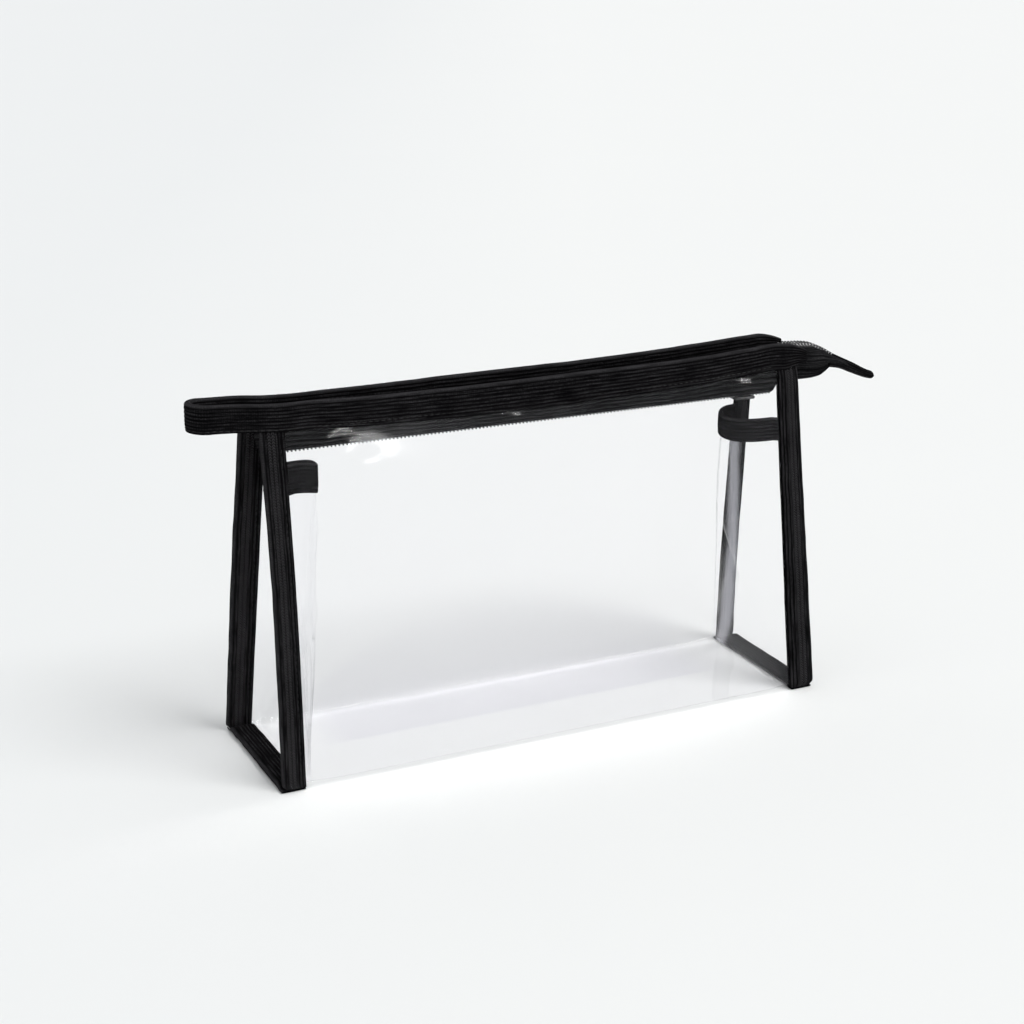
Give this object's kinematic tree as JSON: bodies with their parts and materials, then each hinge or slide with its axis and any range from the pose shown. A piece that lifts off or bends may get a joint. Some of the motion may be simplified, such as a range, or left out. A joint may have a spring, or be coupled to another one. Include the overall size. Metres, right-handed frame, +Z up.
{
  "type": "clear zip pouch",
  "caption": "Free-standing clear makeup pouch with folded sheet walls, bowed end gussets, ribbed tape bindings, a carrying loop and a zipped mouth.",
  "frame": {"origin": "on the resting surface, under the middle of the outline", "axes": "+X along the mouth towards the tail of the zip, -Y to the front panel, +Z up"},
  "size_m": [0.3684, 0.0748, 0.1745],
  "materials": {
    "clear_sheet": "clear glossy soft PVC sheet",
    "ribbed_tape": "matt black ribbed binding tape",
    "zip_tape": "matt black woven zip tape",
    "zip_coil": "black nylon coil",
    "slider_metal": "black painted die-cast metal",
    "thread": "black polyester sewing thread"
  },
  "bodies": {
    "bag": {"body_sheet": "clear_sheet", "left_gusset": "clear_sheet", "right_gusset": "clear_sheet", "left_front_binding": "ribbed_tape", "left_base_binding": "ribbed_tape", "left_back_binding": "ribbed_tape", "right_front_binding": "ribbed_tape", "right_base_binding": "ribbed_tape", "right_back_binding": "ribbed_tape", "left_gusset_top_binding": "ribbed_tape", "right_gusset_top_binding": "ribbed_tape", "top_binding": "ribbed_tape", "zipper_end_tab": "ribbed_tape", "zipper_tape_front": "zip_tape", "zipper_tape_back": "zip_tape", "zipper_coil_front": "zip_coil", "zipper_coil_back": "zip_coil", "left_bar_tack": "thread", "right_bar_tack": "thread"},
    "slider": {"slider_body": "slider_metal"},
    "puller": {"pull_tab": "slider_metal"}
  },
  "joints": [
    {"name": "zip_slide", "type": "slide", "parent": "bag", "child": "slider", "axis": [-1, 0, 0], "range_m": [0, 0.238]},
    {"name": "puller_swing", "type": "hinge", "parent": "slider", "child": "puller", "pos_m": [0.10325, 0, 0.15375], "axis": [0, 1, 0], "range_deg": [0, 125]}
  ]
}
